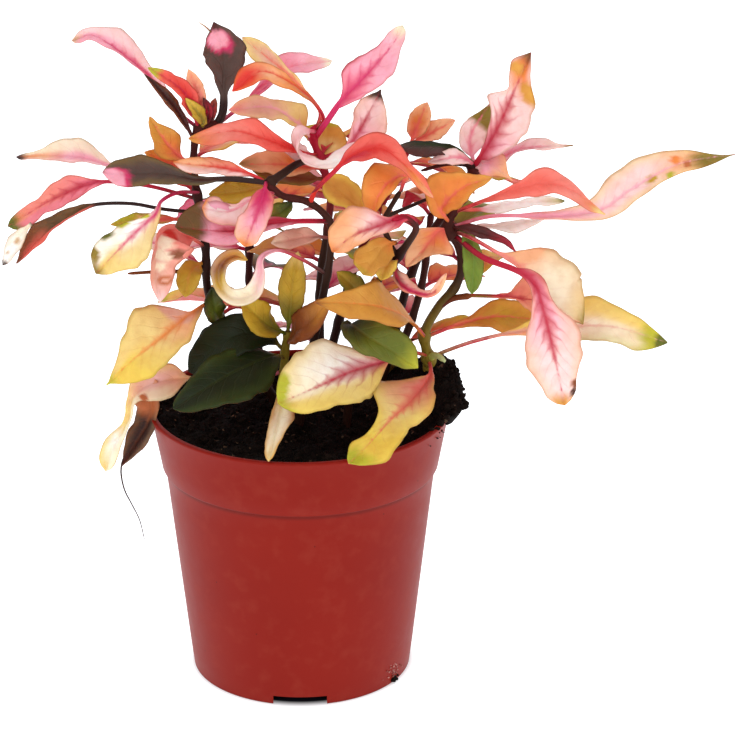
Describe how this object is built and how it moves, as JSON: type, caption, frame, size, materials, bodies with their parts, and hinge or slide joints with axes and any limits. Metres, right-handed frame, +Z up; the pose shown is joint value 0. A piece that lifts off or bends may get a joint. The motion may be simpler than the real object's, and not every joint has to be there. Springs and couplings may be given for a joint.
{
  "type": "potted houseplant",
  "caption": "Small houseplant with slender stems and narrow variegated pink, yellow and green leaves, rooted in dark soil in a round red-brown plastic nursery pot.",
  "frame": {"origin": "the pot's axis at the flat underside that the pot stands on", "axes": "+Z up along the pot's axis, -Y towards the front, +X to the right seen from the front, along the longest leaf"},
  "size_m": [0.2109, 0.1087, 0.2023],
  "materials": {
    "pot_plastic": "satin red-brown moulded plastic, a little dusty",
    "potting_soil": "matt, dark, crumbly peat and bark mix",
    "variegated_leaf": "satin living leaf, pink, coral and cream with golden and lime edges and crimson veins",
    "dark_leaf": "satin living leaf, very dark green with olive and ochre young leaves"
  },
  "bodies": {
    "root": {"pot": "pot_plastic", "soil": "potting_soil", "shoot_left": "variegated_leaf", "shoot_middle_left": "variegated_leaf", "shoot_middle_top": "variegated_leaf", "shoot_middle": "variegated_leaf", "shoot_right": "variegated_leaf", "shoot_right_top": "variegated_leaf", "shoot_low": "dark_leaf", "shoot_back_left": "variegated_leaf", "shoot_back_middle": "variegated_leaf", "shoot_back_right": "variegated_leaf"}
  },
  "joints": []
}
